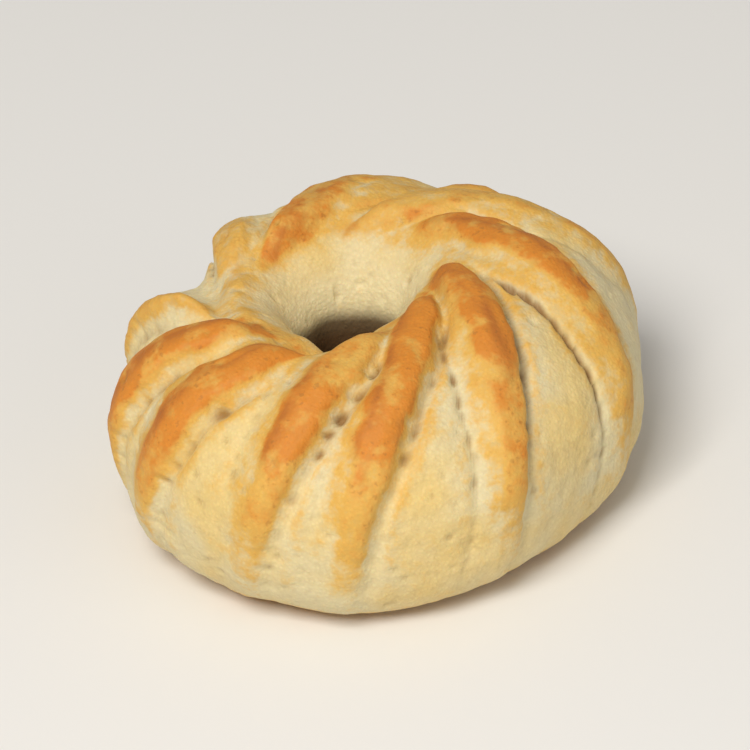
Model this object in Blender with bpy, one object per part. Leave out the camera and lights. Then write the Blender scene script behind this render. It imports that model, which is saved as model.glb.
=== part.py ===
"""A maamoul cookie: one baked ring of dough, pinched all round into slanting ridges.

The tube of the ring is a rounded form that stands on a flat band. Every ridge crosses the tube
from the lip of the hole towards the base, at a slant that eases off on the way down, so all of
them together make a swirl. Sizes are in millimetres and angles in degrees until the mesh is made.
+Z is up.
"""

import bpy
import numpy as np

MILLIMETRE = 0.001

# The ring without its ridges
CROWN_RADIUS = 12.0         # from the middle of the ring to the highest line of the tube
OUTER_RADIUS = 23.1         # to the widest line of the tube
THROAT_RADIUS = 4.5         # of the hole at its narrowest
WAIST_HEIGHT = 9.0          # of the widest line above the base
THROAT_HEIGHT = 12.5        # of the hole's narrowest line above the base
CROWN_HEIGHT = 20.4         # of the highest line above the base
BELLY_FULLNESS = 3.0        # 2 would be an ellipse; more is squarer below the waist
FLAT_DEPTH = 0.35           # how far the belly is pressed flat by the baking tray
HOLLOW_HEIGHT = 0.4         # of the shallow hollow in the underside, round the hole
HOLLOW_SHARE = 0.65         # of the underside's width; the rest is the flat band that it stands on
HOLE_SHIFT = (-1.4, 2.0)    # how far the hole sits off the middle, along X and Y
SHIFT_GROWS = (10.0, 120.0)  # tube angles between which the section moves over with the hole
UNEVEN_RADIUS = 0.045       # share by which the ring is out of round
LONG_AXIS = 50.0            # azimuth of the ring's longest width
UNEVEN_HEIGHT = 0.01        # share by which the ring is higher in front and lower at the back

# Soft lumps of hand-shaped dough: waves round the ring, waves over the tube, phase and height
LUMPS = (
    (1, 0, -4.1, 0.45),
    (3, 1, 0.5, 0.15),
    (5, -2, 2.1, 0.12),
    (8, 3, 4.0, 0.08),
)
LUMPS_FROM_HEIGHT = 2.0     # below this height they leave the underside flat

# One row for each pinched ridge: azimuth at the waist, slant across the tube as a tangent,
# height and half width of the crest, and the tube angle at which it starts, near the hole's lip
RIDGES = (
    (17.0, 0.71, 1.1, 1.9, 116.0),
    (47.0, 0.68, 0.9, 1.9, 60.0),
    (71.0, 0.68, 1.2, 2.5, 114.0),
    (117.0, 0.60, 1.1, 2.2, 98.0),
    (161.0, 0.50, 1.1, 1.0, 86.0),
    (190.0, 0.42, 1.4, 2.1, 100.0),
    (211.0, 0.55, 1.3, 1.9, 94.0),
    (241.0, 0.60, 1.5, 1.8, 105.0),
    (261.5, 0.67, 1.6, 1.9, 115.5),
    (297.0, 0.63, 1.5, 1.9, 118.0),
    (337.5, 0.80, 1.3, 1.9, 112.0),
)

# Deeper hollows that the fingers leave between some ridges: azimuth at the waist, slant, depth,
# half width, and the tube angles between which they run
HOLLOWS = (
    (136.0, 0.68, 2.2, 3.2, 15.0, 100.0),
    (172.0, 0.47, 1.5, 1.7, 15.0, 95.0),
    (219.5, 0.46, 2.2, 2.0, 96.0, 158.0),
)
HOLLOW_FADE = 12.0          # tube angle over which a hollow deepens at either end

LEFT_SLOPE = 0.95           # share of the half width: the gentle slope up to a crest, clockwise
RIGHT_SLOPE = 2.0           # across the steep drop on the other side
CREST_ROUNDING = 0.5        # how far both slopes reach on to the crest
FURROW_BESIDE = 1.2         # from the edge of the crest to the bottom of the furrow below the drop
FURROW_HALF_WIDTH = 0.9
FURROW_DEPTH = 0.45

# How the ridges change over the tube. A pair is two tube angles: where a change begins and ends
LIP_FADE = (-16.0, 8.0)     # from the start of a ridge, over which its height is gained
NARROWS = (70.0, 0.0)       # down from the crown a ridge narrows to LOW_WIDTH
LOW_WIDTH = 0.75
FLATTENS = (55.0, -40.0)    # down over the waist it flattens to LOW_HEIGHT
LOW_HEIGHT = 0.15
RUNS_OUT = (-25.0, -62.0)   # and it is gone before the base
SWIRL_AT_WAIST = 0.4        # share of the slant at the waist
SWIRL_AT_LIP = 1.6          # and at the lip of the hole
SWIRL_GROWS = (0.0, 110.0)
SWIRL_STOPS = (110.0, 135.0)    # past the lip the ridges' lines run straight down the hole

# Mesh
COLUMNS_PER_RIDGE = 12
TUBE_ROWS = 30
UNDERSIDE_ROWS = 2
CREST_CROWDING = 0.3        # how far the columns gather at the crests

BAKED_COLOUR = (0.72, 0.44, 0.15, 1.0)


def smooth_step(value, start, end):
    """Rise smoothly from 0 where value is start to 1 where value is end, whichever is greater."""
    t = np.clip((value - start) / (end - start), 0.0, 1.0)
    return t * t * (3.0 - 2.0 * t)


def tube_section(rows):
    """Return radius, height, outward normal and tube angle of evenly spaced points on the section.

    The tube angle is 0 at the waist outside, 90 on the crown and 180 at the throat. Above the
    waist the section is a quarter ellipse on each side, and below it a superellipse cut off flat.
    """
    angle = np.radians(np.linspace(-90.0, 270.0, 1441))
    across, up = np.cos(angle), np.sin(angle)
    power = np.where(up < 0.0, 2.0 / BELLY_FULLNESS, 1.0)
    reach = np.where(across > 0.0, OUTER_RADIUS - CROWN_RADIUS, CROWN_RADIUS - THROAT_RADIUS)
    middle = np.where(across > 0.0, WAIST_HEIGHT, THROAT_HEIGHT)
    rise = np.where(up > 0.0, CROWN_HEIGHT - middle, middle + FLAT_DEPTH)
    radius = CROWN_RADIUS + reach * np.sign(across) * np.abs(across) ** power
    height = middle + rise * np.sign(up) * np.abs(up) ** power
    standing = height > 0.0
    radius, height, angle = radius[standing], height[standing], np.degrees(angle[standing])
    height[[0, -1]] = 0.0
    length = np.concatenate([[0.0], np.cumsum(np.hypot(np.diff(radius), np.diff(height)))])
    even = np.linspace(0.0, length[-1], rows)
    radius, height, angle = (np.interp(even, length, part) for part in (radius, height, angle))
    along = np.stack([np.gradient(radius), np.gradient(height)])
    along /= np.hypot(*along)
    return radius, height, np.stack([along[1], -along[0]]), angle


def swirl_turn(radius, height, angle):
    """Return the share of the slant at each height, and how far a line of slant 1 has turned there.

    The slant grows from the waist to the lip. The turn is in radians round the ring from the waist.
    """
    growth = SWIRL_AT_WAIST + (SWIRL_AT_LIP - SWIRL_AT_WAIST) * smooth_step(angle, *SWIRL_GROWS)
    growth *= 1.0 - smooth_step(angle, *SWIRL_STOPS)
    turn = np.cumsum(growth * np.hypot(np.gradient(radius), np.gradient(height)) / radius)
    return growth, turn - np.interp(0.0, angle, turn)


def column_lines(columns):
    """Return the azimuth at the waist and the slant of each column, crowded towards the crests."""
    count = len(RIDGES)
    place = np.arange(count * columns) / columns
    place = place - CREST_CROWDING * np.sin(2.0 * np.pi * place) / (2.0 * np.pi)
    azimuth = [row[0] for row in RIDGES] + [RIDGES[0][0] + 360.0]
    slant = [row[1] for row in RIDGES] + [RIDGES[0][1]]
    knots = np.arange(count + 1)
    return np.radians(np.interp(place, knots, azimuth)), np.interp(place, knots, slant)


def across_line(azimuth, radius, growth, turn, waist, slant):
    """Return the distance across from a swirling line to every point, positive counterclockwise."""
    gap = azimuth - np.radians(waist) - slant * turn
    return ((gap + np.pi) % (2.0 * np.pi) - np.pi) * radius / np.hypot(1.0, slant * growth)


def relief(azimuth, radius, growth, turn, angle):
    """Return how far the ridges stand out from the plain tube, and their furrows sink into it.

    Each ridge is measured by x, the distance across from its line. The dough slopes up gently to
    a flat crest, and drops steeply on the other side into a furrow. The hollows are rounded.
    """
    lasting = 1.0 - (1.0 - LOW_HEIGHT) * smooth_step(angle, *FLATTENS)
    lasting = lasting * (1.0 - smooth_step(angle, *RUNS_OUT))
    narrowing = 1.0 - (1.0 - LOW_WIDTH) * smooth_step(angle, *NARROWS)
    crests = np.zeros_like(azimuth)
    furrows = np.zeros_like(azimuth)
    for waist, slant, crest, half_width, start in RIDGES:
        x = across_line(azimuth, radius, growth, turn, waist, slant)
        edge = half_width * narrowing
        brink = edge - CREST_ROUNDING
        ridge = smooth_step(x, -edge - LEFT_SLOPE * half_width, -brink)
        ridge = ridge * smooth_step(x, brink + RIGHT_SLOPE, brink)
        furrow = np.exp(-((x - edge - FURROW_BESIDE) / FURROW_HALF_WIDTH) ** 2)
        reach = lasting * (1.0 - smooth_step(angle - start, *LIP_FADE))
        crests = np.maximum(crests, reach * crest * ridge)
        furrows = np.maximum(furrows, reach * FURROW_DEPTH * furrow)
    for waist, slant, depth, half_width, first, last in HOLLOWS:
        x = across_line(azimuth, radius, growth, turn, waist, slant)
        along = smooth_step(angle, first - HOLLOW_FADE, first + HOLLOW_FADE)
        along = along * smooth_step(angle, last + HOLLOW_FADE, last - HOLLOW_FADE)
        furrows = np.maximum(furrows, along * depth * np.exp(-(x / half_width) ** 2))
    return crests - furrows


def lumps(azimuth, angle):
    """Return the height of the soft lumps: the sum of a few waves that run across the tube."""
    waves = (height * np.sin(around * azimuth + over * np.radians(angle) + phase)
             for around, over, phase, height in LUMPS)
    return sum(waves)


def section_rows():
    """Return radius, height, normal, tube angle, growth, turn and shift of every row of the section.

    The rows of the tube come first. Those of the underside lead back from the hole's edge to the
    belly's, down from the shallow hollow to the flat band. The shift is the share of HOLE_SHIFT.
    """
    radius, height, normal, angle = tube_section(TUBE_ROWS)
    growth, turn = swirl_turn(radius, height, angle)
    outward = np.linspace(0.0, 1.0, UNDERSIDE_ROWS + 2)[1:-1]
    still = np.zeros(UNDERSIDE_ROWS)
    radius = np.append(radius, radius[-1] + outward * (radius[0] - radius[-1]))
    height[-1] = HOLLOW_HEIGHT
    height = np.append(height, HOLLOW_HEIGHT * (1.0 - smooth_step(outward, 0.0, HOLLOW_SHARE)))
    normal = np.append(normal, [still, still - 1.0], axis=1)
    turn = np.append(turn, turn[-1] + outward * (turn[0] - turn[-1]))
    shift = np.append(smooth_step(angle, *SHIFT_GROWS), 1.0 - outward)
    return radius, height, normal, np.append(angle, still + 270.0), np.append(growth, still), turn, shift


def cookie_points():
    """Return the cookie's surface points as an array of columns by rows by XYZ, in metres."""
    radius, height, normal, angle, growth, turn, shift = section_rows()
    waist, slant = column_lines(COLUMNS_PER_RIDGE)
    azimuth = waist[:, None] + slant[:, None] * turn[None, :]
    proud = relief(azimuth, radius, growth, turn, angle) + lumps(azimuth, angle)
    standing = smooth_step(height, HOLLOW_HEIGHT, LUMPS_FROM_HEIGHT)
    out_of_round = 1.0 + UNEVEN_RADIUS * np.cos(2.0 * (azimuth - np.radians(LONG_AXIS)))
    radius = radius * out_of_round + proud * normal[0]
    height = height * (1.0 - UNEVEN_HEIGHT * np.sin(azimuth)) + standing * proud * normal[1]
    x = radius * np.cos(azimuth) + HOLE_SHIFT[0] * shift
    y = radius * np.sin(azimuth) + HOLE_SHIFT[1] * shift
    points = np.stack([x, y, height], axis=-1)
    middle = (points.min(axis=(0, 1)) + points.max(axis=(0, 1))) / 2.0
    points[..., :2] -= middle[:2]
    return points * MILLIMETRE


def ring_faces(columns, rows):
    """Return quads that join the columns round the ring, each column closing on its first row."""
    faces = []
    for column in range(columns):
        beside = (column + 1) % columns
        for row in range(rows):
            above = (row + 1) % rows
            faces.append((column * rows + row, beside * rows + row,
                          beside * rows + above, column * rows + above))
    return faces


def baked_material():
    """Return the plain golden brown of the baked dough."""
    material = bpy.data.materials.new("baked_dough")
    material.use_nodes = True
    shader = material.node_tree.nodes["Principled BSDF"]
    shader.inputs["Base Color"].default_value = BAKED_COLOUR
    shader.inputs["Roughness"].default_value = 0.75
    shader.inputs["Metallic"].default_value = 0.0
    return material


def build_cookie():
    """Make the one solid of the cookie, standing on the flat band of its underside."""
    points = cookie_points()
    columns, rows = points.shape[:2]
    mesh = bpy.data.meshes.new("cookie")
    mesh.from_pydata(points.reshape(-1, 3).tolist(), [], ring_faces(columns, rows))
    mesh.shade_smooth()
    mesh.materials.append(baked_material())
    cookie = bpy.data.objects.new("cookie", mesh)
    bpy.context.scene.collection.objects.link(cookie)
    return cookie


for old in list(bpy.data.objects):
    bpy.data.objects.remove(old)
build_cookie()
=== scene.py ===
"""The finish of a maamoul cookie: a baked ring of pinched dough on a plain pale stage."""

import math
from typing import NamedTuple

import bpy
import numpy as np
from bpy.props import FloatProperty, FloatVectorProperty, PointerProperty
from bpy.types import Operator, Panel, PropertyGroup
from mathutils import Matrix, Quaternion, Vector


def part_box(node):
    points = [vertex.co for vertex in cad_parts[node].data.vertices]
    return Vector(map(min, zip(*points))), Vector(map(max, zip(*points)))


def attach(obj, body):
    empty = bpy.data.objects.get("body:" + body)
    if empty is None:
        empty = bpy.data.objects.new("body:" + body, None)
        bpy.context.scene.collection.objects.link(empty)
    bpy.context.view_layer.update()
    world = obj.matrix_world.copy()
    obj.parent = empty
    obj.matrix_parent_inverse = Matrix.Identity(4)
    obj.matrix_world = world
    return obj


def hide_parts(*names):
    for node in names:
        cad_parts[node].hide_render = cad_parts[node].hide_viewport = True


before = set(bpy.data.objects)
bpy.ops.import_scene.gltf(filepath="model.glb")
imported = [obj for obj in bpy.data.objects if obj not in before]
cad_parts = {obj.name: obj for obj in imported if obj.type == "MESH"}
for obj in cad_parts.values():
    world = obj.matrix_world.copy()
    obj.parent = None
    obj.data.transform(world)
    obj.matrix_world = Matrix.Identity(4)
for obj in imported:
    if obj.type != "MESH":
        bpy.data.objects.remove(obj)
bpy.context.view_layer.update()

bl_info = {
    "name": "Maamoul Cookie",
    "version": (1, 0, 0),
    "blender": (4, 5, 0),
    "location": "View3D > Sidebar > Maamoul",
    "description": "Builds a baked maamoul ring with pinched, swirling ridges, and its stage",
    "category": "Add Mesh",
}

MM = 0.001
COOKIE_LOW, COOKIE_HIGH = (np.array(corner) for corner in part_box("cookie"))
COOKIE_SIZE = COOKIE_HIGH - COOKIE_LOW
HALF_WIDTH = float(COOKIE_SIZE[0]) / 2.0
HEIGHT = float(COOKIE_SIZE[2])

FLOOR_HALF = 1.5            # half the side of the floor, in metres

# Grid of the surface: columns round the ring, rows over the tube, and rows across the flat base
COLUMNS = 440
TUBE_ROWS = 206
BASE_ROWS = 8
SECTION_STEPS = 2880        # of the fine outline from which the tube's rows are read


class Ridge(NamedTuple):
    """One pinched ridge. Lengths are in millimetres, angles in degrees."""

    azimuth: float      # of its line at the waist
    slant: float        # of its line across the tube, as a tangent
    crest: float        # height
    half_width: float
    start: float        # tube angle at which it starts, near the lip of the hole
    bake: float         # how brown its crest is
    bake_top: float     # tube angle at which the brown starts
    bake_end: float     # and at which it has half faded away
    bake_fade: float    # tube angle that the fading takes on either side
    scorch: float       # place of its darkest streak, from -1 on the gentle side to 1 on the steep
    crease: float       # depth of the crease below its gentle side, as a share of the deepest
    teeth: float        # force of the pincers' teeth on its steep side


RIDGES = (
    Ridge(17.0, 0.71, 1.1, 1.9, 116.0, 0.58, 114.0, 97.0, 8.0, 0.80, 0.40, 0.5),
    Ridge(47.0, 0.68, 0.9, 1.9, 60.0, 0.50, 60.0, 20.0, 20.0, 0.20, 0.40, 0.6),
    Ridge(71.0, 0.68, 1.2, 2.5, 114.0, 0.74, 114.0, 56.0, 18.0, 0.00, 0.40, 0.7),
    Ridge(117.0, 0.60, 1.1, 2.2, 98.0, 0.20, 96.0, 50.0, 20.0, 0.00, 0.40, 0.6),
    Ridge(161.0, 0.50, 1.1, 1.0, 86.0, 0.26, 96.0, 30.0, 20.0, 0.20, 0.40, 0.6),
    Ridge(190.0, 0.42, 1.4, 2.1, 100.0, 0.90, 102.0, 5.0, 24.0, -0.20, 0.40, 0.6),
    Ridge(211.0, 0.55, 1.3, 1.9, 94.0, 1.12, 92.0, 26.0, 20.0, -0.50, 0.50, 0.7),
    Ridge(241.0, 0.60, 1.5, 1.8, 105.0, 0.92, 66.0, 37.0, 7.0, -0.70, 0.50, 1.1),
    Ridge(261.5, 0.67, 1.6, 1.9, 115.5, 1.00, 118.0, 36.0, 20.0, -0.75, 0.60, 0.7),
    Ridge(297.0, 0.63, 1.5, 1.9, 118.0, 0.96, 118.0, 50.0, 22.0, 0.10, 0.90, 0.8),
    Ridge(337.5, 0.80, 1.3, 1.9, 112.0, 0.94, 96.0, 44.0, 18.0, 0.30, 1.60, 0.6),
)


class Hollow(NamedTuple):
    """A deeper hollow that the fingers leave between two ridges, in the units of a Ridge."""

    azimuth: float
    slant: float
    depth: float
    half_width: float
    first: float        # tube angles between which it runs
    last: float


HOLLOWS = (
    Hollow(136.0, 0.68, 2.2, 3.2, 15.0, 100.0),
    Hollow(172.0, 0.47, 1.5, 1.7, 15.0, 95.0),
    Hollow(219.5, 0.46, 2.2, 2.0, 96.0, 158.0),
)

# Form of every ridge. Lengths are in millimetres across it, measured from the edge of its crest
LEFT_SLOPE = 0.95           # width of the gentle slope up to a crest, as a share of its half width
RIGHT_SLOPE = 1.1           # width of the steep drop on its other side
CREST_DOME = 0.32           # share of its height that a crest loses towards its edges
TIP_ROUNDING = 12.0         # tube angle by which its edges start later than its middle
TOOTH_NOTCH = 0.25          # how far a tooth bites into the steep side
TOOTH_SLANT = 0.25          # tooth spacings by which a row of marks leans for every millimetre
FURROW_BESIDE = 0.85        # out to the furrow below the steep side
FURROW_WIDTH = 0.55
PIT_BESIDE = 0.7            # out to the row of pits in that furrow
PIT_WIDTH = 0.52
PIT_RAGGED = 0.35           # how far noise shifts a pit's outline
CREASE_BESIDE = 0.2         # out from the foot of the gentle slope to the fine crease
CREASE_WIDTH = 0.32
FINE_PIT_WIDTH = 0.42
FINE_PIT_SHARE = 0.6        # depth of the pits in the crease, as a share of the crease's own

# How the ridges change over the tube. A pair is two tube angles: where a change begins and ends
TIP_FADE = (-16.0, 8.0)     # from the start of a ridge, over which its height is gained
FLATTENS = (55.0, -40.0)    # down over the waist it loses LOST_HEIGHT
LOST_HEIGHT = 0.85
RUNS_OUT = (-25.0, -62.0)   # and it is gone before the base
NARROWS = (70.0, 0.0)       # down from the crown it loses LOST_WIDTH
LOST_WIDTH = 0.25
BAKE_TOP_FADE = (16.0, 0.0)     # from where its brown starts, over which it fades down the hole
SUNNY_BELOW = (-30.0, 30.0)     # every ridge is at least golden between the belly
SUNNY_ABOVE = (138.0, 112.0)    # and the lip of the hole
HOLLOW_FADE = 12.0          # tube angle over which a hollow deepens at either end
SWIRL_AT_WAIST = 0.4        # share of the slant at the waist
SWIRL_AT_LIP = 1.6          # and at the lip of the hole
SWIRL_GROWS = (0.0, 110.0)
SWIRL_STOPS = (110.0, 135.0)    # past the lip the ridges' lines run straight down the hole

BASE_HOLLOW = 0.4 * MM      # height of the underside next to the hole
BASE_PRESSED = 0.35 * MM    # how far the dough sagged through the plane of the tray

# Soft lumps of hand-shaped dough: waves round the ring, waves over the tube, phase, and height in
# millimetres
LUMPS = (
    (1, 0, -4.1, 0.45),
    (3, 1, 0.5, 0.15),
    (5, -2, 2.1, 0.12),
    (8, 3, 4.0, 0.08),
)
# Noises of the kneaded surface: cell size in millimetres, share of the height, and seed
KNEADING = (
    (4.2, 1.0, 21),
    (1.8, 0.55, 22),
    (0.8, 0.35, 23),
)
PORE_LEVEL = -0.60          # a pore opens where a noise from -1 to 1 falls below this
PORE_DEPTH = 0.6 * MM       # for each unit below it
FULL_SWELL = 0.25 * MM      # height above the surroundings that counts as a full bump
SWELL_REACH = 4             # steps of the grid that the surroundings reach each way

# The ring as a whole: it is a little oval and out of level, and its hole sits off the middle
OVAL = 0.045                # share of the radius
OVAL_AZIMUTH = 50.0
TILT = 0.01                 # share of the height
HOLE_SHIFT = (-1.4 * MM, 2.0 * MM)


class CookieShape(PropertyGroup):
    """Sizes of the ring and of the marks that pinching leaves in it."""

    crown_radius: FloatProperty(
        name="Crown radius", description="From the middle to the highest line of the tube",
        default=0.513 * HALF_WIDTH, unit="LENGTH")
    outer_radius: FloatProperty(
        name="Outer radius", description="To the widest line of the tube, without its ridges",
        default=0.987 * HALF_WIDTH, unit="LENGTH")
    throat_radius: FloatProperty(
        name="Throat radius", description="Of the hole at its narrowest",
        default=0.192 * HALF_WIDTH, unit="LENGTH")
    waist_height: FloatProperty(
        name="Waist height", description="Of the widest line above the base",
        default=0.40 * HEIGHT, unit="LENGTH")
    throat_height: FloatProperty(
        name="Throat height", description="Of the hole's narrowest line above the base",
        default=0.556 * HEIGHT, unit="LENGTH")
    crown_height: FloatProperty(
        name="Crown height", description="Of the highest line above the base, without its ridges",
        default=0.907 * HEIGHT, unit="LENGTH")
    furrow_depth: FloatProperty(
        name="Furrow depth", description="Of the furrow along the steep side of each ridge",
        default=0.55 * MM, unit="LENGTH")
    crease_depth: FloatProperty(
        name="Crease depth", description="Of the fine crease below the gentle side of each ridge",
        default=0.30 * MM, unit="LENGTH")
    tooth_spacing: FloatProperty(
        name="Tooth spacing", description="Between the pits that the pincers' teeth leave",
        default=2.0 * MM, unit="LENGTH")
    tooth_depth: FloatProperty(
        name="Tooth depth", description="Of the deepest pits",
        default=0.70 * MM, unit="LENGTH")
    knead_height: FloatProperty(
        name="Knead height", description="Of the small unevenness of the kneaded dough",
        default=0.16 * MM, unit="LENGTH")


class CookieCrust(PropertyGroup):
    """Colours of the dough, from the raw wall of the hole to the browned crests, and the painted
    shade deep in the hole.
    """

    raw: FloatVectorProperty(
        name="Raw dough", description="Colour of the hole's wall",
        subtype="COLOR", size=3, default=(0.85, 0.74, 0.44), min=0.0, max=1.0)
    pale: FloatVectorProperty(
        name="Pale dough", description="Colour of the flanks",
        subtype="COLOR", size=3, default=(0.76, 0.66, 0.390), min=0.0, max=1.0)
    straw: FloatVectorProperty(
        name="Straw dough", description="Colour of the flanks in warmer patches",
        subtype="COLOR", size=3, default=(0.79, 0.59, 0.235), min=0.0, max=1.0)
    golden: FloatVectorProperty(
        name="Golden dough", description="Colour where the crust begins to brown",
        subtype="COLOR", size=3, default=(0.75, 0.445, 0.095), min=0.0, max=1.0)
    toasted: FloatVectorProperty(
        name="Toasted crest", description="Colour of the browned crests",
        subtype="COLOR", size=3, default=(0.68, 0.245, 0.028), min=0.0, max=1.0)
    scorched: FloatVectorProperty(
        name="Scorched streak", description="Colour of the darkest streaks on the crests",
        subtype="COLOR", size=3, default=(0.46, 0.145, 0.022), min=0.0, max=1.0)
    # The darkest crust is also the colour of the painted shade in the creases, pits and pores.
    dark: FloatVectorProperty(
        name="Darkest crust", description="Colour of flecks and of deep pits",
        subtype="COLOR", size=3, default=(0.26, 0.12, 0.028), min=0.0, max=1.0)
    # Painted shade, not a dough colour: the near-black depth of the hole below its narrowest line.
    hole: FloatVectorProperty(
        name="Depth of the hole", description="Colour of the wall below the hole's narrowest line",
        subtype="COLOR", size=3, default=(0.075, 0.028, 0.005), min=0.0, max=1.0)
    roughness: FloatProperty(
        name="Roughness", description="Of the dry baked surface",
        default=0.62, min=0.0, max=1.0, subtype="FACTOR")


class StageLook(PropertyGroup):
    """Camera and light."""

    elevation: FloatProperty(
        name="Camera elevation", description="Angle of the view above the table",
        default=math.radians(34.0), subtype="ANGLE")
    distance: FloatProperty(
        name="Camera distance", description="From the middle of the cookie",
        default=0.6, unit="LENGTH")
    fill: FloatProperty(
        name="Frame fill", description="Share of the picture's width that the cookie takes",
        default=0.72, min=0.1, max=1.0, subtype="FACTOR")
    lean: FloatProperty(
        name="Lean", description="Roll of the camera, which makes the cookie lean to the left",
        default=math.radians(5.8), subtype="ANGLE")
    floor_colour: FloatVectorProperty(
        name="Floor", description="Colour of the table top",
        subtype="COLOR", size=3, default=(0.82, 0.81, 0.79), min=0.0, max=1.0)


def smooth_step(value, start, end):
    """Rise from 0 at start to 1 at end, as 3t^2 - 2t^3."""
    t = np.clip((value - start) / (end - start), 0.0, 1.0)
    return t * t * (3.0 - 2.0 * t)


def lattice_noise(points, cell, seed):
    """Return smooth noise from -1 to 1 at each point.

    Every corner of a cubic lattice of that cell size holds a random value, and a point blends its
    eight corners with the weight 6t^5 - 15t^4 + 10t^3 along each axis.
    """
    side = 32
    values = np.random.default_rng(seed).uniform(-1.0, 1.0, (side, side, side))
    place = points / cell
    corner = np.floor(place).astype(int)
    t = place - corner
    fade = t * t * t * (t * (6.0 * t - 15.0) + 10.0)
    total = np.zeros(points.shape[:-1])
    for step in np.ndindex(2, 2, 2):
        weight = np.prod(np.where(step, fade, 1.0 - fade), axis=-1)
        x, y, z = np.moveaxis((corner + step) % side, -1, 0)
        total += weight * values[x, y, z]
    return total


def tube_section(shape):
    """Return radius, height, outward normal, tube angle and run of the tube's section, row by row.

    The tube angle is 0 at the waist outside, 90 on the crown and 180 at the throat. Above the
    waist and the throat the section is a quarter ellipse: radius = crown + reach * cos(angle) and
    height = middle + rise * sin(angle). Below them both have the exponent 2/3, a fuller
    superellipse, which the tray cuts off flat. Rows lie closer where the tube is in view. The run
    is the length along the section.
    """
    angle = np.radians(np.linspace(-90.0, 270.0, SECTION_STEPS + 1))
    across, up = np.cos(angle), np.sin(angle)
    power = np.where(up < 0.0, 2.0 / 3.0, 1.0)
    outside = shape.outer_radius - shape.crown_radius
    inside = shape.crown_radius - shape.throat_radius
    reach = np.where(across > 0.0, outside, inside)
    middle = np.where(across > 0.0, shape.waist_height, shape.throat_height)
    rise = np.where(up > 0.0, shape.crown_height - middle, middle + BASE_PRESSED)
    radius = shape.crown_radius + reach * np.sign(across) * np.abs(across) ** power
    height = middle + rise * np.sign(up) * np.abs(up) ** power
    standing = height > 0.0
    radius, height, angle = radius[standing], height[standing], np.degrees(angle[standing])
    height[[0, -1]] = 0.0
    step = np.hypot(np.diff(radius), np.diff(height))
    run = np.concatenate([[0.0], np.cumsum(step)])
    hidden = 1.0 - smooth_step(angle, -40.0, -10.0) + smooth_step(angle, 150.0, 190.0)
    share = np.concatenate([[0.0], np.cumsum(step * (1.0 - 0.5 * hidden[1:]))])
    even = np.linspace(0.0, share[-1], TUBE_ROWS)
    parts = (radius, height, angle, run)
    radius, height, angle, run = (np.interp(even, share, part) for part in parts)
    along = np.stack([np.gradient(radius), np.gradient(height)])
    return radius, height, np.stack([along[1], -along[0]]) / np.hypot(*along), angle, run


def swirl_turn(radius, angle, run):
    """Return the share of a ridge's slant at each row, and how far a line of slant 1 has turned.

    The share grows from the waist to the lip and dies away down the hole. The turn is the sum of
    share * step / radius along the section, in radians from the waist.
    """
    share = SWIRL_AT_WAIST + (SWIRL_AT_LIP - SWIRL_AT_WAIST) * smooth_step(angle, *SWIRL_GROWS)
    share *= 1.0 - smooth_step(angle, *SWIRL_STOPS)
    turn = np.cumsum(share * np.gradient(run) / radius)
    return share, turn - np.interp(0.0, angle, turn)


def section_rows(shape):
    """Return every row of the section as a dict: the tube's rows, then those of the underside.

    The underside leads back from the hole's edge to the belly's, with radius and turn in equal
    steps, down from BASE_HOLLOW to the flat band on which the cookie stands. The shift is the share
    of the hole's distance from the middle.
    """
    radius, height, normal, angle, run = tube_section(shape)
    share, turn = swirl_turn(radius, angle, run)
    outward = np.linspace(0.0, 1.0, BASE_ROWS + 2)[1:-1]
    still = np.zeros(BASE_ROWS)
    height[-1] = BASE_HOLLOW
    return {
        "radius": np.append(radius, radius[-1] + outward * (radius[0] - radius[-1])),
        "height": np.append(height, BASE_HOLLOW * (1.0 - smooth_step(outward, 0.0, 0.65))),
        "normal": np.append(normal, [still, still - 1.0], axis=1),
        "angle": np.append(angle, still + 270.0),
        "run": np.append(run, still + run[-1]),
        "share": np.append(share, still),
        "turn": np.append(turn, turn[-1] + outward * (turn[0] - turn[-1])),
        "shift": np.append(smooth_step(angle, 10.0, 120.0), 1.0 - outward),
    }


def column_lines():
    """Return the waist azimuth and the slant of each column, blended between its two ridges."""
    knots = [ridge.azimuth for ridge in RIDGES] + [RIDGES[0].azimuth + 360.0]
    slants = [ridge.slant for ridge in RIDGES] + [RIDGES[0].slant]
    waist = RIDGES[0].azimuth + 360.0 * np.arange(COLUMNS) / COLUMNS
    return np.radians(waist), np.interp(waist, knots, slants)


def tooth_marks(seed, along):
    """Return a row of tooth marks beside one ridge: a strength from 0 to 1, and a step aside.

    along is measured in tooth spacings. Each whole number is a tooth, whose mark is
    exp(-(distance / width)^2). It has its own force and width, is shifted by up to 0.25 spacings
    along the row, and steps up to 0.2 mm aside.
    """
    draw = np.random.default_rng(seed)
    teeth = 64
    force = draw.choice((0.15, 0.4, 0.7, 1.0), teeth)
    shift = draw.uniform(-0.25, 0.25, teeth)
    width = draw.uniform(0.20, 0.42, teeth)
    aside = draw.uniform(-0.20, 0.20, teeth)
    tooth = np.rint(along).astype(int)
    pick = tooth % teeth
    return force[pick] * bell(along - tooth - shift[pick], width[pick]), aside[pick]


def across_line(line, rows, azimuth):
    """Return the distance across from a swirling line to every point, in millimetres.

    The line of a ridge or hollow is at azimuth + slant * turn. The gap to it in radians, times the
    radius and the cosine of the slant, is the distance, positive counterclockwise.
    """
    gap = azimuth - np.radians(line.azimuth) - line.slant * rows["turn"]
    gap = (gap + np.pi) % (2.0 * np.pi) - np.pi
    return gap * rows["radius"] / np.hypot(1.0, line.slant * rows["share"]) / MM


def bell(distance, width):
    """Fall from 1 at no distance, as exp(-(distance / width)^2)."""
    return np.exp(-(distance / width) ** 2)


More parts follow.
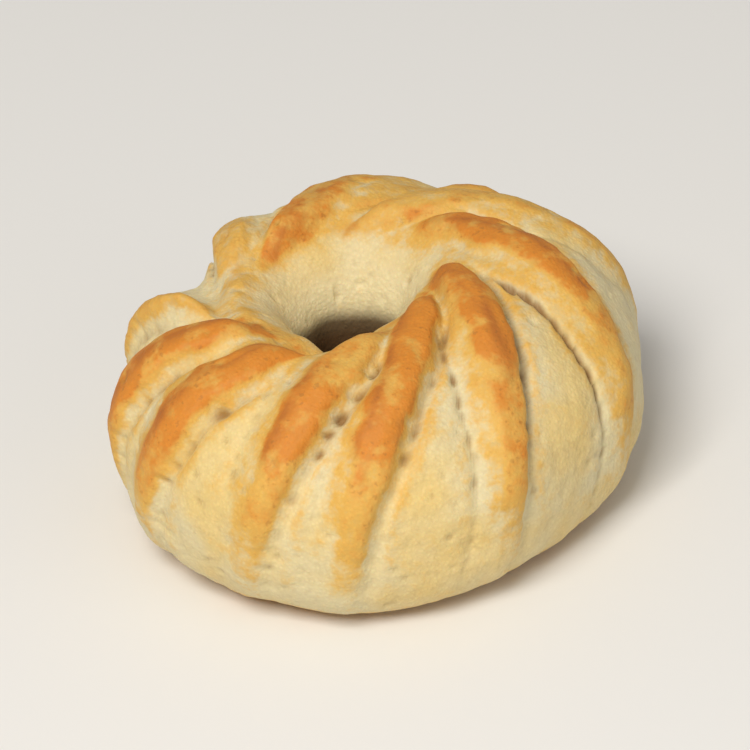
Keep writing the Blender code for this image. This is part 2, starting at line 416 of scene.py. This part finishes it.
def ridge_height(ridge, x, edge, teeth):
    """Return a ridge's height at each distance x across it, as a share of its crest's.

    The dough rises smoothly over the gentle slope to a domed crest and drops over the steep slope,
    into which the teeth bite.
    """
    gentle = LEFT_SLOPE * ridge.half_width
    rise = smooth_step(x, -edge - gentle, 0.6 - edge)
    bitten = x + TOOTH_NOTCH * teeth
    drop = smooth_step(bitten, edge - 0.5 + RIGHT_SLOPE, edge - 0.5)
    return rise * drop * (1.0 - CREST_DOME * np.clip(x / edge, -1.0, 1.0) ** 2)


def ridge_furrows(shape, number, x, edge, along, teeth, aside, ragged):
    """Return the depth of the furrow, the crease and the pits beside a ridge, and their shade: how
    dark they are painted, partly baked brown and partly painted shade.

    The furrow runs below the steep side and the finer crease below the gentle one. The teeth press
    pits into both, torn and shifted by noise in the furrow.
    """
    ridge = RIDGES[number]
    foot = edge + LEFT_SLOPE * ridge.half_width + CREASE_BESIDE
    furrow = bell(x - edge - FURROW_BESIDE, FURROW_WIDTH)
    torn = np.clip(0.75 + 0.9 * ragged, 0.0, 1.2)
    pit = bell(x - edge - PIT_BESIDE - aside + PIT_RAGGED * ragged, PIT_WIDTH)
    pit = torn * ridge.teeth * teeth * pit
    fine = ridge.crease * bell(x + foot, CREASE_WIDTH)
    place = along / shape.tooth_spacing - TOOTH_SLANT * x
    fine_teeth, fine_aside = tooth_marks(400 + number, place)
    fine_pit = FINE_PIT_SHARE * fine_teeth * bell(x + foot - fine_aside, FINE_PIT_WIDTH)
    fine_pit = ridge.crease * fine_pit
    depth = shape.furrow_depth * furrow + shape.crease_depth * fine
    depth = depth + shape.tooth_depth * (pit + fine_pit)
    return depth, np.maximum(0.5 * furrow + 0.8 * pit, 0.5 * fine + fine_pit)


def ridge_browning(number, x, edge, angle, along):
    """Return how brown and how scorched a ridge is at each point.

    Its top is baked between two tube angles, and golden wherever the oven's heat reaches. A glow
    of that gold spreads beyond the top, and a broken dark streak runs along it.
    """
    ridge = RIDGES[number]
    baked = smooth_step(angle - ridge.bake_end, -ridge.bake_fade, ridge.bake_fade)
    baked = ridge.bake * baked * smooth_step(angle - ridge.bake_top, *BAKE_TOP_FADE)
    golden = (0.30 + 0.26 * ridge.bake) * smooth_step(angle, *SUNNY_BELOW)
    golden = golden * smooth_step(angle, *SUNNY_ABOVE)
    top = smooth_step(x, -edge - 0.6, 0.7 - edge) * smooth_step(x, edge + 0.4, edge - 0.7)
    glow = 0.9 * golden * bell(x, 2.0 * edge)
    place = np.broadcast_arrays(along / (3.0 * MM), x / 0.9, number)
    broken = np.clip(0.75 + 1.1 * lattice_noise(np.stack(place, axis=-1), 1.0, 13), 0.0, 1.0)
    streak = broken * bell(x / edge - ridge.scorch, 0.42)
    return np.maximum(top * np.maximum(baked, golden), glow), top * baked * streak


def hollow_depth(rows, azimuth):
    """Return how deep the fingers' hollows are at each point. The deepest wins."""
    depth = np.zeros_like(azimuth)
    for hollow in HOLLOWS:
        ends = smooth_step(rows["angle"] - hollow.first, -HOLLOW_FADE, HOLLOW_FADE)
        ends = ends * smooth_step(rows["angle"] - hollow.last, HOLLOW_FADE, -HOLLOW_FADE)
        across = bell(across_line(hollow, rows, azimuth), hollow.half_width)
        depth = np.maximum(depth, ends * hollow.depth * MM * across)
    return depth


def ridge_marks(shape, rows, azimuth, points):
    """Return how far the ridges stand proud, and masks of their brown, scorched and creased dough,
    where the creases and pits are darkened, partly baked brown and partly painted shade.

    Each ridge is measured by x, the distance across from its line in millimetres, and by the
    distance along it, and it starts with a rounded tip near the lip. The highest ridge wins, and
    so does the deepest furrow, which fades where another ridge's crest crosses it.
    """
    angle = rows["angle"]
    crests, sunk, brown, scorch, crease = (np.zeros_like(azimuth) for _ in range(5))
    lasting = 1.0 - LOST_HEIGHT * smooth_step(angle, *FLATTENS)
    lasting = lasting * (1.0 - smooth_step(angle, *RUNS_OUT))
    narrowing = 1.0 - LOST_WIDTH * smooth_step(angle, *NARROWS)
    wander, patch, ragged = (lattice_noise(points, cell * MM, seed)
                             for cell, seed in ((5.0, 11), (1.6, 12), (0.9, 14)))
    for number, ridge in enumerate(RIDGES):
        x = across_line(ridge, rows, azimuth) + 0.25 * wander
        along = rows["run"] * np.hypot(1.0, 0.9 * ridge.slant)
        edge = ridge.half_width * narrowing * (1.0 + 0.10 * patch)
        late = TIP_ROUNDING * np.clip(x / edge, -1.3, 1.3) ** 2
        reach = lasting * (1.0 - smooth_step(angle + late - ridge.start, *TIP_FADE))
        teeth, aside = tooth_marks(300 + number, along / shape.tooth_spacing + TOOTH_SLANT * x)
        height = ridge.crest * MM * (1.0 + 0.15 * wander) * ridge_height(ridge, x, edge, teeth)
        depth, shade = ridge_furrows(shape, number, x, edge, along, teeth, aside, ragged)
        browned, scorched = ridge_browning(number, x, edge, angle, along)
        crests = np.maximum(crests, reach * height)
        sunk = np.maximum(sunk, reach * depth)
        crease = np.maximum(crease, reach * shade)
        brown = np.maximum(brown, browned)
        scorch = np.maximum(scorch, scorched)
    bare = 1.0 - 0.9 * smooth_step(crests, 0.5 * MM, 1.1 * MM)
    return crests - bare * sunk - hollow_depth(rows, azimuth), {
        "brown": np.clip(brown * (1.0 + 0.22 * patch), 0.0, 1.0),
        "scorch": scorch,
        # The crease mask darkens the furrows, creases and pits: partly baked brown, partly painted
        # shade.
        "crease": np.clip(bare * crease, 0.0, 1.0),
    }


def swell(height, reach):
    """Return how far each point stands above its surroundings, from -1 in hollows to 1 on bumps.

    The surroundings are the mean height over a square of that many grid steps each way, taken as a
    running sum along the columns and then along the rows.
    """
    mean = height
    steps = range(-reach, reach + 1)
    for axis in (0, 1):
        mean = sum(np.roll(mean, step, axis) for step in steps) / len(steps)
    return np.clip((height - mean) / FULL_SWELL, -1.0, 1.0)


def dough_height(shape, azimuth, angle, points):
    """Return the dough's unevenness, and its open pores as a mask.

    A few waves run across the tube: height * sin(around * azimuth + over * angle + phase). Three
    noises of falling cell size add the kneaded surface, calmer down the hole, and a pore opens
    where a fine noise falls below PORE_LEVEL.
    """
    height = sum(high * MM * np.sin(around * azimuth + over * np.radians(angle) + phase)
                 for around, over, phase, high in LUMPS)
    calm = shape.knead_height * (1.0 - 0.65 * smooth_step(angle, 105.0, 150.0))
    for cell, part, seed in KNEADING:
        height = height + part * calm * lattice_noise(points, cell * MM, seed)
    pores = np.clip(PORE_LEVEL - lattice_noise(points, 1.0 * MM, 24), 0.0, 1.0)
    return height - PORE_DEPTH * pores, np.clip(3.0 * pores, 0.0, 1.0)


def cookie_surface(shape):
    """Return the surface's points, columns by rows by XYZ, and its masks.

    A column is a line that swirls with the ridges: azimuth = waist + slant * turn. The section's
    radius and height are set out along it, pushed out along the normal by the relief, made a
    little out of round and out of level, and shifted so that the hole sits off the middle. It is
    then stretched to the size of the plain solid that it replaces.

    The masks of the whole ring are swell, raw (the wall of the hole), under (the base, browned by
    the tray) and throat (the shaded depth of the hole).
    """
    rows = section_rows(shape)
    radius, height, angle, normal = rows["radius"], rows["height"], rows["angle"], rows["normal"]
    waist, slant = column_lines()
    azimuth = waist[:, None] + slant[:, None] * rows["turn"][None, :]
    sideways, forwards = np.cos(azimuth), np.sin(azimuth)
    everywhere = np.ones_like(azimuth)
    plain = np.stack([radius * sideways, radius * forwards, height * everywhere], axis=-1)
    proud, masks = ridge_marks(shape, rows, azimuth, plain)
    uneven, pores = dough_height(shape, azimuth, angle, plain)
    proud = proud + uneven
    standing = smooth_step(height, 0.4 * MM, 2.0 * MM)
    out_of_round = 1.0 + OVAL * np.cos(2.0 * (azimuth - np.radians(OVAL_AZIMUTH)))
    reach = radius * out_of_round + proud * normal[0]
    x = reach * sideways + HOLE_SHIFT[0] * rows["shift"]
    y = reach * forwards + HOLE_SHIFT[1] * rows["shift"]
    z = height * (1.0 - TILT * forwards) + standing * proud * normal[1]
    points = np.stack([x, y, z], axis=-1)
    low, high = points.min(axis=(0, 1)), points.max(axis=(0, 1))
    points = COOKIE_LOW + (points - low) * COOKIE_SIZE / (high - low)
    # The open pores join the crease mask and are darkened with it, as painted shade.
    masks["crease"] = np.maximum(masks["crease"], 0.5 * pores * standing)
    masks["swell"] = 0.5 + 0.5 * swell(proud, SWELL_REACH) * standing
    masks["raw"] = smooth_step(angle, 136.0, 160.0) * everywhere
    masks["under"] = smooth_step(height, 3.0 * MM, 0.0) * everywhere
    # Painted shade: the wall below the hole's narrowest line is marked for a near-black colour.
    masks["throat"] = smooth_step(angle, 167.0, 183.0) * everywhere
    masks["throat"] *= smooth_step(height, 0.0, 2.0 * MM)
    return points, masks


def ring_quads(columns, rows):
    """Return the quads that join each column to the next and the last row to the first."""
    column, row = np.meshgrid(np.arange(columns), np.arange(rows), indexing="ij")
    beside, above = (column + 1) % columns, (row + 1) % rows
    here, there = column * rows, beside * rows
    corners = (here + row, there + row, there + above, here + above)
    return np.stack(corners, axis=-1).reshape(-1, 4)


def grid_object(name, points, quads, masks):
    """Make a smooth mesh object from whole arrays, with each mask as an attribute of its points."""
    mesh = bpy.data.meshes.new(name)
    mesh.vertices.add(points.size // 3)
    mesh.vertices.foreach_set("co", points.astype(np.float32).ravel())
    mesh.loops.add(quads.size)
    mesh.loops.foreach_set("vertex_index", quads.astype(np.int32).ravel())
    mesh.polygons.add(len(quads))
    mesh.polygons.foreach_set("loop_start", np.arange(0, quads.size, 4, dtype=np.int32))
    for mask, values in masks.items():
        attribute = mesh.attributes.new(mask, "FLOAT", "POINT")
        attribute.data.foreach_set("value", values.astype(np.float32).ravel())
    mesh.update(calc_edges=True)
    mesh.shade_smooth()
    piece = bpy.data.objects.new(name, mesh)
    bpy.context.scene.collection.objects.link(piece)
    return piece


class Nodes:
    """A short way to add nodes to one material and to join them."""

    def __init__(self, material):
        material.use_nodes = True
        self.tree = material.node_tree
        self.shader = self.tree.nodes["Principled BSDF"]

    def add(self, kind, inputs=(), **settings):
        """Add a node, set its fields, and fill or link the inputs that the dict names."""
        node = self.tree.nodes.new(kind)
        for field, value in settings.items():
            setattr(node, field, value)
        for socket, value in dict(inputs).items():
            if isinstance(value, bpy.types.NodeSocket):
                self.tree.links.new(value, node.inputs[socket])
            else:
                node.inputs[socket].default_value = value
        return node

    def mask(self, name):
        """Read one of the mesh's masks."""
        return self.add("ShaderNodeAttribute", attribute_name=name).outputs["Fac"]

    def noise(self, place, per_metre, detail=3.0, rough=0.55):
        """Return fractal noise around 0.5 at that many cells a metre."""
        inputs = {"Vector": place, "Scale": per_metre, "Detail": detail, "Roughness": rough}
        return self.add("ShaderNodeTexNoise", inputs).outputs["Fac"]

    def span(self, value, start, end, low=0.0, high=1.0):
        """Map value smoothly from start to end onto low to high."""
        inputs = {"Value": value, "From Min": start, "From Max": end, "To Min": low,
                  "To Max": high}
        node = self.add("ShaderNodeMapRange", inputs, interpolation_type="SMOOTHSTEP")
        return node.outputs["Result"]

    def math(self, operation, first, second):
        """Return one arithmetic step."""
        return self.add("ShaderNodeMath", {0: first, 1: second}, operation=operation).outputs[0]

    def mix(self, factor, first, second):
        """Mix two colours."""
        inputs = {"Factor": factor, 6: first, 7: second}
        return self.add("ShaderNodeMix", inputs, data_type="RGBA").outputs[2]


def baked_dough(crust):
    """Return the dough's material: pale flanks, golden to scorched crests, dark pits (partly baked
    brown, partly painted shade), grain, and painted shade deep in the hole.
    """
    material = bpy.data.materials.new("baked_dough")
    nodes = Nodes(material)
    place = nodes.add("ShaderNodeTexCoord").outputs["Object"]
    cloud = nodes.noise(place, 110.0, 2.0)
    blotch = nodes.noise(place, 420.0)
    speck = nodes.noise(place, 1500.0, 2.0)
    grains = nodes.add("ShaderNodeTexVoronoi", {"Vector": place, "Scale": 2600.0})
    crumb = nodes.span(grains.outputs["Distance"], 0.0, 0.75, 1.0, 0.0)
    brown, scorch, crease, rise = map(nodes.mask, ("brown", "scorch", "crease", "swell"))
    tones = (crust.pale, crust.straw, crust.golden, crust.toasted, crust.scorched, crust.dark)
    pale, straw, golden, toasted, scorched, dark = ((*tone, 1.0) for tone in tones)

    # How baked each spot is, from 0 for pale dough to 1 for toasted: mottled where it is brown,
    # more on swellings than in dips, and brown underneath
    patchy = nodes.span(brown, 0.35, 0.85, 0.25, 1.0)
    baking = nodes.math("MULTIPLY", nodes.span(blotch, 0.3, 0.7, -0.36, 0.30), patchy)
    baking = nodes.math("ADD", brown, baking)
    baking = nodes.math("ADD", baking, nodes.span(speck, 0.3, 0.7, -0.08, 0.08))
    baking = nodes.math("ADD", baking, nodes.span(rise, 0.0, 1.0, -0.14, 0.16))
    baking = nodes.math("ADD", baking, nodes.math("MULTIPLY", nodes.mask("under"), 0.55))

    colour = nodes.mix(nodes.span(cloud, 0.38, 0.70), pale, straw)
    colour = nodes.mix(nodes.mask("raw"), colour, (*crust.raw, 1.0))
    colour = nodes.mix(nodes.span(baking, 0.05, 0.46), colour, golden)
    colour = nodes.mix(nodes.span(baking, 0.38, 1.0), colour, toasted)
    burnt = nodes.math("MULTIPLY", scorch, nodes.span(blotch, 0.36, 0.60, 0.35, 1.0))
    colour = nodes.mix(burnt, colour, scorched)
    fleck = nodes.math("MULTIPLY", nodes.span(speck, 0.60, 0.72), nodes.span(baking, 0.3, 0.8))
    colour = nodes.mix(nodes.math("MULTIPLY", fleck, 0.35), colour, dark)
    # Creases, pits and pores darkened towards the darkest crust: partly baked brown, partly painted
    # shade.
    colour = nodes.mix(nodes.math("MULTIPLY", nodes.span(crease, 0.2, 1.0), 0.86), colour, dark)
    colour = nodes.mix(nodes.span(crumb, 0.0, 1.0, 0.09, 0.0), colour, dark)
    colour = nodes.mix(nodes.span(speck, 0.25, 0.55, 0.12, 0.0), colour, dark)
    # Painted shade deep in the hole: the wall below its narrowest line turns near black.
    deep = nodes.math("MULTIPLY", nodes.mask("throat"), 0.96)
    colour = nodes.mix(deep, colour, (*crust.hole, 1.0))
    nodes.tree.links.new(colour, nodes.shader.inputs["Base Color"])

    height = nodes.math("ADD", nodes.math("MULTIPLY", crumb, 0.4), speck)
    height = nodes.math("ADD", height, nodes.math("MULTIPLY", nodes.noise(place, 4200.0, 2.0), 0.4))
    bump = nodes.add("ShaderNodeBump", {"Height": height, "Strength": 0.5, "Distance": 0.12 * MM})
    nodes.tree.links.new(bump.outputs["Normal"], nodes.shader.inputs["Normal"])
    nodes.shader.inputs["Roughness"].default_value = crust.roughness
    nodes.shader.inputs["Specular IOR Level"].default_value = 0.3
    nodes.shader.inputs["Subsurface Weight"].default_value = 0.10
    nodes.shader.inputs["Subsurface Radius"].default_value = (1.0, 0.5, 0.2)
    nodes.shader.inputs["Subsurface Scale"].default_value = 0.7 * MM
    return material


class MAAMOUL_OT_cookie(Operator):
    """Build the baked ring in place of its plain solid"""

    bl_idname = "maamoul.cookie"
    bl_label = "Maamoul Cookie"

    def execute(self, context):
        points, masks = cookie_surface(context.scene.maamoul_shape)
        piece = grid_object("maamoul", points, ring_quads(*points.shape[:2]), masks)
        piece.data.materials.append(baked_dough(context.scene.maamoul_crust))
        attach(piece, "root")
        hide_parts("cookie")
        return {"FINISHED"}


def soft_light(name, place, target, size, power, colour=(1.0, 1.0, 1.0)):
    """Add a square area light that faces the target."""
    light = bpy.data.lights.new(name, "AREA")
    light.size = size
    light.energy = power
    light.color = colour
    lamp = bpy.data.objects.new(name, light)
    lamp.location = place
    lamp.rotation_euler = (Vector(target) - Vector(place)).to_track_quat("-Z", "Y").to_euler()
    bpy.context.scene.collection.objects.link(lamp)


class MAAMOUL_OT_stage(Operator):
    """Set the pale floor, the soft light and the camera"""

    bl_idname = "maamoul.stage"
    bl_label = "Stage"

    def execute(self, context):
        look = context.scene.maamoul_stage
        middle = Vector((COOKIE_LOW + COOKIE_HIGH) / 2.0)
        sides = ((-1.0, -1.0), (1.0, -1.0), (1.0, 1.0), (-1.0, 1.0))
        corners = np.array([(FLOOR_HALF * x, FLOOR_HALF * y, COOKIE_LOW[2]) for x, y in sides])
        floor = grid_object("floor", corners, np.array([[0, 1, 2, 3]]), {})
        paint = bpy.data.materials.new("floor")
        shader = Nodes(paint).shader
        shader.inputs["Base Color"].default_value = (*look.floor_colour, 1.0)
        shader.inputs["Roughness"].default_value = 0.8
        floor.data.materials.append(paint)

        warm = (1.0, 0.97, 0.92)
        soft_light("key", (-0.17, -0.37, 0.55), middle, size=0.30, power=3.75, colour=warm)
        soft_light("fill", (0.45, -0.45, 0.30), middle, size=0.5, power=0.45)
        world = bpy.data.worlds.new("studio")
        world.use_nodes = True
        backdrop = world.node_tree.nodes["Background"]
        backdrop.inputs["Color"].default_value = (1.0, 0.98, 0.95, 1.0)
        backdrop.inputs["Strength"].default_value = 0.34
        context.scene.world = world
        context.scene.view_settings.view_transform = "Standard"

        camera = bpy.data.cameras.new("camera")
        camera.sensor_width = 36.0
        camera.lens = look.fill * camera.sensor_width * look.distance / (2.0 * HALF_WIDTH)
        eye = bpy.data.objects.new("camera", camera)
        back = Vector((0.0, -math.cos(look.elevation), math.sin(look.elevation)))
        eye.location = middle + look.distance * back
        facing = (-back).to_track_quat("-Z", "Y")
        eye.rotation_euler = (facing @ Quaternion((0.0, 0.0, 1.0), -look.lean)).to_euler()
        context.scene.collection.objects.link(eye)
        context.scene.camera = eye
        return {"FINISHED"}


class MAAMOUL_PT_sidebar(Panel):
    """Lists the cookie's settings and its two builders"""

    bl_label = "Maamoul"
    bl_idname = "MAAMOUL_PT_sidebar"
    bl_space_type = "VIEW_3D"
    bl_region_type = "UI"
    bl_category = "Maamoul"

    def draw(self, context):
        for group in ("maamoul_shape", "maamoul_crust", "maamoul_stage"):
            settings = getattr(context.scene, group)
            box = self.layout.box()
            for field in settings.bl_rna.properties:
                if not field.is_readonly and field.identifier != "name":
                    box.prop(settings, field.identifier)
        self.layout.operator(MAAMOUL_OT_cookie.bl_idname)
        self.layout.operator(MAAMOUL_OT_stage.bl_idname)


CLASSES = (
    CookieShape, CookieCrust, StageLook,
    MAAMOUL_OT_cookie, MAAMOUL_OT_stage, MAAMOUL_PT_sidebar,
)


def register():
    """Register the classes and hang the settings on the scene."""
    for kind in CLASSES:
        bpy.utils.register_class(kind)
    bpy.types.Scene.maamoul_shape = PointerProperty(type=CookieShape)
    bpy.types.Scene.maamoul_crust = PointerProperty(type=CookieCrust)
    bpy.types.Scene.maamoul_stage = PointerProperty(type=StageLook)


def unregister():
    """Take the settings off the scene and unregister the classes."""
    for group in ("maamoul_shape", "maamoul_crust", "maamoul_stage"):
        delattr(bpy.types.Scene, group)
    for kind in reversed(CLASSES):
        bpy.utils.unregister_class(kind)


def main():
    """Build everything in order."""
    register()
    bpy.ops.maamoul.cookie()
    bpy.ops.maamoul.stage()


if __name__ == "__main__":
    main()
